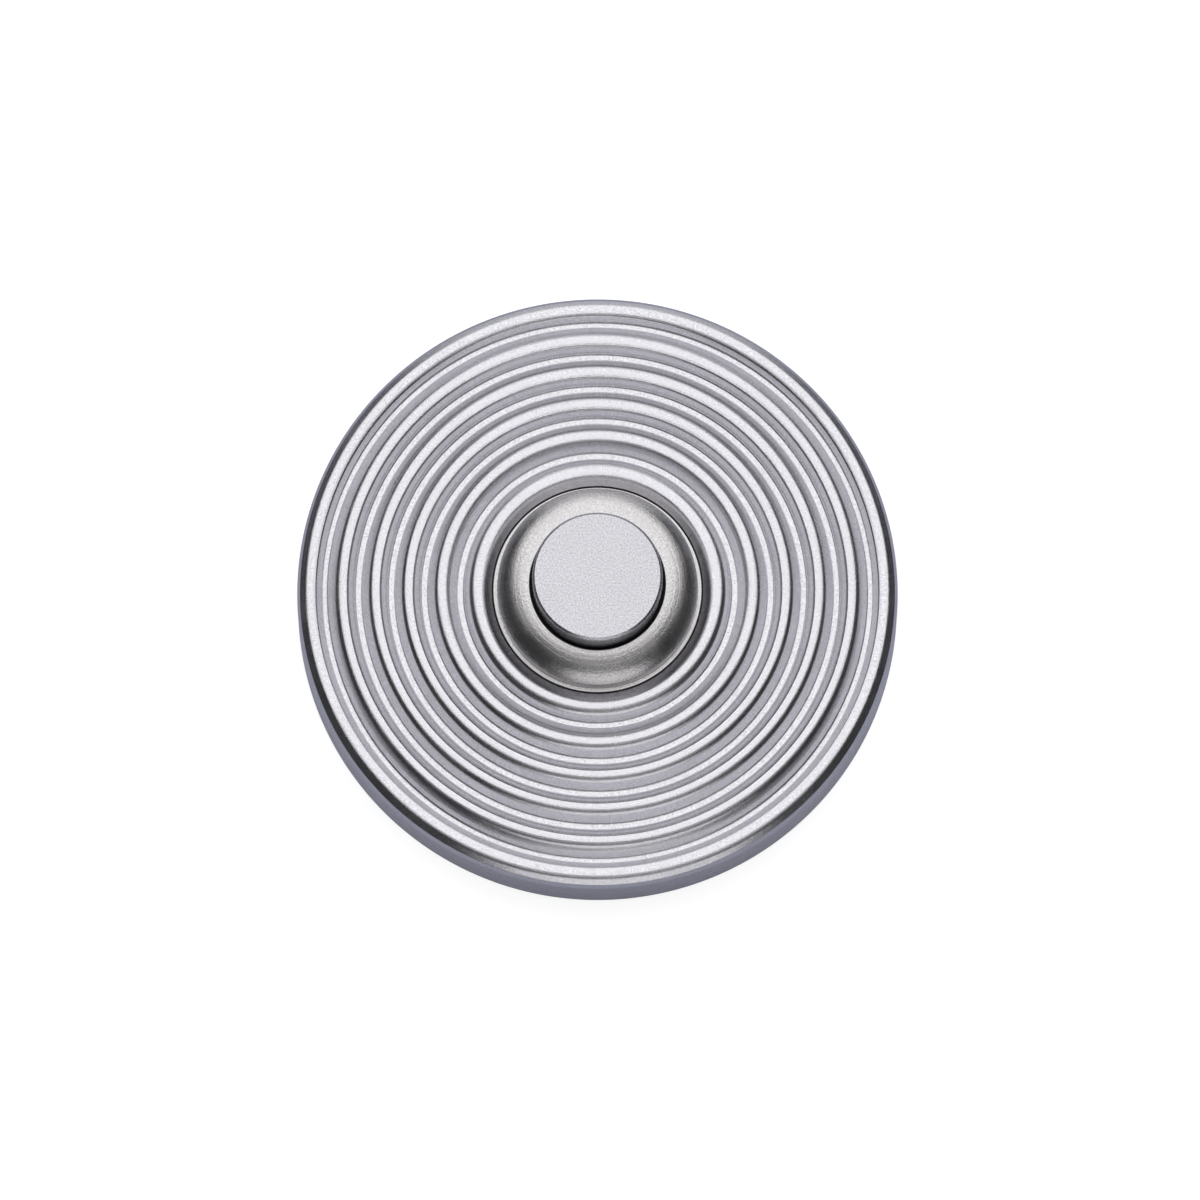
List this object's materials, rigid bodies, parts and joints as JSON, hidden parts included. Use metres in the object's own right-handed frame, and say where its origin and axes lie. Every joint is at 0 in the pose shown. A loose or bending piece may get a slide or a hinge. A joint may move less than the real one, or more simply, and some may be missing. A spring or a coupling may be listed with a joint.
{
  "type": "doorbell push button",
  "caption": "Round bell push with a reeded satin metal rose, a domed collar and a flat sprung push that travels inward.",
  "frame": {"origin": "middle of the flat back, on the plane of the wall", "axes": "+Z out of the wall along the push, +Y up the wall, +X to the right seen from the front"},
  "size_m": [0.076, 0.076, 0.0178],
  "materials": {
    "satin_rose": "satin",
    "satin_collar": "satin",
    "satin_push": "fine satin",
    "plate_metal": "plain",
    "nut_brass": "turned",
    "spring_steel": "plain",
    "contact_bronze": "rolled",
    "screw_steel": "plated",
    "black_moulding": "moulded",
    "white_nylon": "moulded"
  },
  "bodies": {
    "housing": {"rose": "satin_rose", "collar": "satin_collar", "lock_washer": "spring_steel", "ring_nut": "nut_brass", "spring_seat": "spring_steel", "retaining_ring": "spring_steel", "return_spring": "spring_steel", "back_plate": "plate_metal", "contact_base": "black_moulding", "moving_contact": "contact_bronze", "fixed_contact": "contact_bronze", "terminal_insert_left": "nut_brass", "terminal_insert_right": "nut_brass", "terminal_washer_left": "screw_steel", "terminal_washer_right": "screw_steel", "terminal_screw_left": "screw_steel", "terminal_screw_right": "screw_steel", "base_screw_upper": "screw_steel", "base_screw_lower": "screw_steel"},
    "button": {"push_button": "satin_push", "plunger_tip": "white_nylon"}
  },
  "joints": [
    {"name": "button_press", "type": "slide", "parent": "housing", "child": "button", "axis": [0, 0, -1], "range_m": [0, 0.0014], "stiffness_N_per_m": 440, "springref_m": -0.006, "deforming": ["return_spring", "moving_contact"]}
  ]
}
